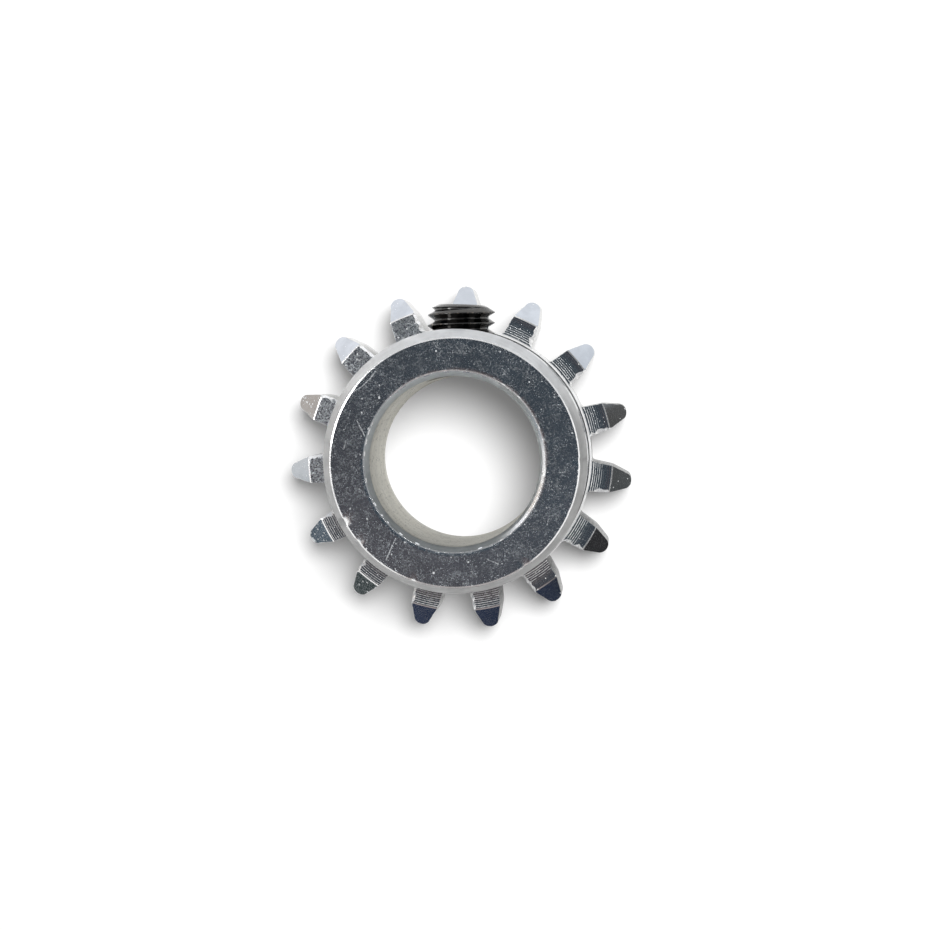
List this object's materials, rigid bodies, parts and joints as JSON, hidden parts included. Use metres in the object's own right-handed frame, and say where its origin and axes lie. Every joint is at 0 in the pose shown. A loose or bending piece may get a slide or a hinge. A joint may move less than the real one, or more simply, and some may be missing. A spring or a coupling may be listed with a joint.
{
  "type": "gear wheel",
  "caption": "Toothed wheel with a long plain hub on one side, a round through bore and a radial set screw in the hub.",
  "frame": {"origin": "centre of the bore at the toothed end face", "axes": "+Z along the bore axis, from the toothed end to the hub's end; +Y out through the set screw and the tooth behind it"},
  "size_m": [0.0416, 0.0414, 0.021],
  "materials": {
    "plated_steel": "bright zinc plated, turned",
    "black_screw_steel": "black oxide, oiled"
  },
  "bodies": {
    "root": {"gear_wheel": "plated_steel", "set_screw": "black_screw_steel"}
  },
  "joints": []
}
